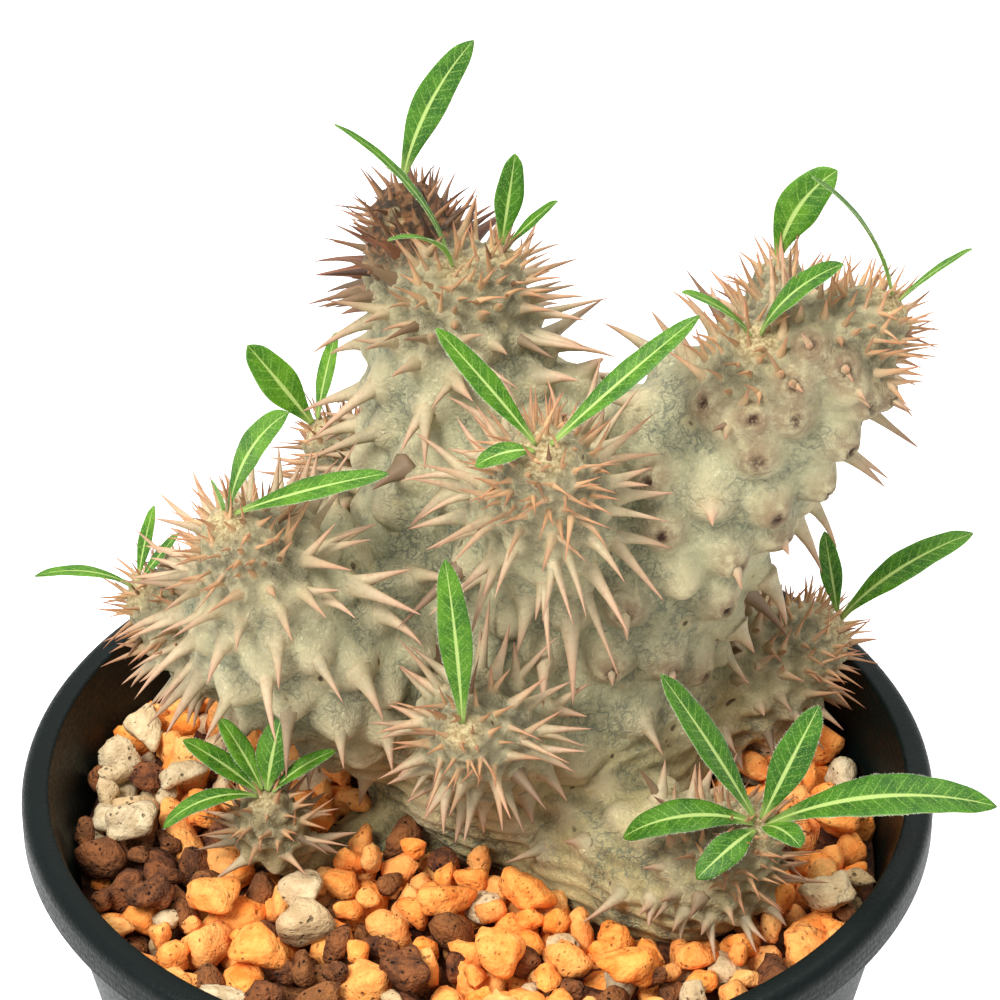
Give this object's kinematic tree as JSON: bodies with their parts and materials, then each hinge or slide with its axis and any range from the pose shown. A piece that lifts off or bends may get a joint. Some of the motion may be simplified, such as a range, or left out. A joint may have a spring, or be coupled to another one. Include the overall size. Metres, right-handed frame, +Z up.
{
  "type": "potted pachypodium",
  "caption": "Branching spiny caudex with small crowns of oblong leaves, growing in coarse gritty mix in a round tapered pot with a rolled rim.",
  "frame": {"origin": "middle of the pot's foot, on the surface it stands on", "axes": "+Z up along the pot's axis, -Y towards the front of the plant, +X to the right seen from the front"},
  "size_m": [0.1261, 0.1198, 0.1921],
  "materials": {
    "black_plastic": "fine matte grain",
    "potting_mix": "coarse dry grit",
    "bark": "dull living skin, finely wrinkled",
    "leaf_green": "satin with fine hairs",
    "pumice": "rough, pitted",
    "akadama": "rough baked clay",
    "laterite": "rough, porous"
  },
  "bodies": {
    "root": {"akadama_1": "akadama", "akadama_2": "akadama", "akadama_3": "akadama", "akadama_4": "akadama", "akadama_5": "akadama", "akadama_6": "akadama", "akadama_7": "akadama", "caudex": "bark", "laterite_1": "laterite", "laterite_2": "laterite", "leaf_back_left_1": "leaf_green", "leaf_back_left_2": "leaf_green", "leaf_centre_1": "leaf_green", "leaf_centre_2": "leaf_green", "leaf_centre_3": "leaf_green", "leaf_far_left_1": "leaf_green", "leaf_far_left_2": "leaf_green", "leaf_far_left_3": "leaf_green", "leaf_front_1": "leaf_green", "leaf_left_1": "leaf_green", "leaf_left_2": "leaf_green", "leaf_left_3": "leaf_green", "leaf_lower_left_1": "leaf_green", "leaf_lower_left_2": "leaf_green", "leaf_lower_left_3": "leaf_green", "leaf_lower_left_4": "leaf_green", "leaf_lower_left_5": "leaf_green", "leaf_lower_right_1": "leaf_green", "leaf_lower_right_2": "leaf_green", "leaf_lower_right_3": "leaf_green", "leaf_lower_right_4": "leaf_green", "leaf_lower_right_5": "leaf_green", "leaf_lower_right_6": "leaf_green", "leaf_right_back_1": "leaf_green", "leaf_right_back_2": "leaf_green", "leaf_top_left_back_1": "leaf_green", "leaf_top_left_front_1": "leaf_green", "leaf_top_left_front_2": "leaf_green", "leaf_top_left_side_1": "leaf_green", "leaf_top_left_side_2": "leaf_green", "leaf_top_right_1": "leaf_green", "leaf_top_right_2": "leaf_green", "leaf_top_right_back_1": "leaf_green", "leaf_top_right_front_1": "leaf_green", "leaf_top_right_front_2": "leaf_green", "pot": "black_plastic", "potting_mix": "potting_mix", "pumice_1": "pumice", "pumice_2": "pumice", "pumice_3": "pumice", "pumice_4": "pumice", "pumice_5": "pumice"}
  },
  "joints": []
}
